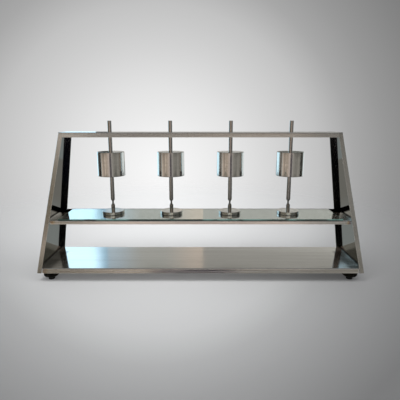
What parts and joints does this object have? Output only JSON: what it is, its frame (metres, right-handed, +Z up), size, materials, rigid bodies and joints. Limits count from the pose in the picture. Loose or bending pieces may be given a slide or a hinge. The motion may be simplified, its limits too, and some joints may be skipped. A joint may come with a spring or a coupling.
{
  "type": "grease oil separation stand",
  "caption": "Sheet steel bench stand with a glass shelf, sliding loaded plungers on swivelling foot discs, and levelling feet with fluted knobs.",
  "frame": {"origin": "centre of the four feet, on the bench", "axes": "+X along the stand to the viewer's right, +Y to the back, +Z up"},
  "size_m": [0.64, 0.136, 0.31],
  "materials": {
    "sheet_steel": "bright satin stainless sheet with long fine brush lines, near mirror on the flat faces",
    "turned_steel": "turned and polished stainless with fine rings round the axis",
    "clear_glass": "clear float glass with ground green edges",
    "zinc_steel": "zinc plated steel, dull grey",
    "bronze": "sintered bronze, oily and dull",
    "black_plastic": "black moulded plastic with a soft sheen",
    "black_rubber": "dull black rubber"
  },
  "bodies": {
    "frame": {"base_tray": "sheet_steel", "shelf_tray": "sheet_steel", "side_panel_left": "sheet_steel", "side_panel_right": "sheet_steel", "top_beam": "sheet_steel", "glass_plate": "clear_glass", "foot_nuts": "zinc_steel", "guide_bush_1": "bronze", "guide_bush_2": "bronze", "guide_bush_3": "bronze", "guide_bush_4": "bronze"},
    "plunger_1": {"rod_1": "turned_steel", "weight_1": "turned_steel", "weight_screw_1": "zinc_steel"},
    "plunger_2": {"rod_2": "turned_steel", "weight_2": "turned_steel", "weight_screw_2": "zinc_steel"},
    "plunger_3": {"rod_3": "turned_steel", "weight_3": "turned_steel", "weight_screw_3": "zinc_steel"},
    "plunger_4": {"rod_4": "turned_steel", "weight_4": "turned_steel", "weight_screw_4": "zinc_steel"},
    "disc_1": {"foot_disc_1": "turned_steel", "ball_socket_1": "turned_steel"},
    "disc_2": {"foot_disc_2": "turned_steel", "ball_socket_2": "turned_steel"},
    "disc_3": {"foot_disc_3": "turned_steel", "ball_socket_3": "turned_steel"},
    "disc_4": {"foot_disc_4": "turned_steel", "ball_socket_4": "turned_steel"},
    "pad_1": {"level_pad_1": "black_rubber"},
    "pad_2": {"level_pad_2": "black_rubber"},
    "pad_3": {"level_pad_3": "black_rubber"},
    "pad_4": {"level_pad_4": "black_rubber"},
    "knob_1": {"level_knob_1": "black_plastic", "level_stud_1": "zinc_steel"},
    "knob_2": {"level_knob_2": "black_plastic", "level_stud_2": "zinc_steel"},
    "knob_3": {"level_knob_3": "black_plastic", "level_stud_3": "zinc_steel"},
    "knob_4": {"level_knob_4": "black_plastic", "level_stud_4": "zinc_steel"}
  },
  "joints": [
    {"name": "plunger_lift_1", "type": "slide", "parent": "frame", "child": "plunger_1", "axis": [0, 0, 1], "range_m": [0, 0.027]},
    {"name": "plunger_lift_2", "type": "slide", "parent": "frame", "child": "plunger_2", "axis": [0, 0, 1], "range_m": [0, 0.027]},
    {"name": "plunger_lift_3", "type": "slide", "parent": "frame", "child": "plunger_3", "axis": [0, 0, 1], "range_m": [0, 0.027]},
    {"name": "plunger_lift_4", "type": "slide", "parent": "frame", "child": "plunger_4", "axis": [0, 0, 1], "range_m": [0, 0.027]},
    {"name": "disc_swivel_1", "type": "hinge", "parent": "plunger_1", "child": "disc_1", "pos_m": [-0.18, 0, 0.1345], "axis": [0, 0, 1], "continuous": true},
    {"name": "disc_swivel_2", "type": "hinge", "parent": "plunger_2", "child": "disc_2", "pos_m": [-0.06, 0, 0.1345], "axis": [0, 0, 1], "continuous": true},
    {"name": "disc_swivel_3", "type": "hinge", "parent": "plunger_3", "child": "disc_3", "pos_m": [0.06, 0, 0.1345], "axis": [0, 0, 1], "continuous": true},
    {"name": "disc_swivel_4", "type": "hinge", "parent": "plunger_4", "child": "disc_4", "pos_m": [0.18, 0, 0.1345], "axis": [0, 0, 1], "continuous": true},
    {"name": "foot_travel_1", "type": "slide", "parent": "frame", "child": "pad_1", "axis": [0, 0, -1], "range_m": [0, 0.00375]},
    {"name": "foot_travel_2", "type": "slide", "parent": "frame", "child": "pad_2", "axis": [0, 0, -1], "range_m": [0, 0.00375]},
    {"name": "foot_travel_3", "type": "slide", "parent": "frame", "child": "pad_3", "axis": [0, 0, -1], "range_m": [0, 0.00375]},
    {"name": "foot_travel_4", "type": "slide", "parent": "frame", "child": "pad_4", "axis": [0, 0, -1], "range_m": [0, 0.00375]},
    {"name": "knob_turn_1", "type": "hinge", "parent": "pad_1", "child": "knob_1", "pos_m": [-0.298, -0.05, 0.01], "axis": [0, 0, -1], "range_deg": [0, 1080]},
    {"name": "knob_turn_2", "type": "hinge", "parent": "pad_2", "child": "knob_2", "pos_m": [0.298, -0.05, 0.01], "axis": [0, 0, -1], "range_deg": [0, 1080]},
    {"name": "knob_turn_3", "type": "hinge", "parent": "pad_3", "child": "knob_3", "pos_m": [-0.298, 0.05, 0.01], "axis": [0, 0, -1], "range_deg": [0, 1080]},
    {"name": "knob_turn_4", "type": "hinge", "parent": "pad_4", "child": "knob_4", "pos_m": [0.298, 0.05, 0.01], "axis": [0, 0, -1], "range_deg": [0, 1080]}
  ],
  "couplings": [
    {"joint": "foot_travel_1", "follows": "knob_turn_1", "m_per_rad": 0.0001989},
    {"joint": "foot_travel_2", "follows": "knob_turn_2", "m_per_rad": 0.0001989},
    {"joint": "foot_travel_3", "follows": "knob_turn_3", "m_per_rad": 0.0001989},
    {"joint": "foot_travel_4", "follows": "knob_turn_4", "m_per_rad": 0.0001989}
  ]
}
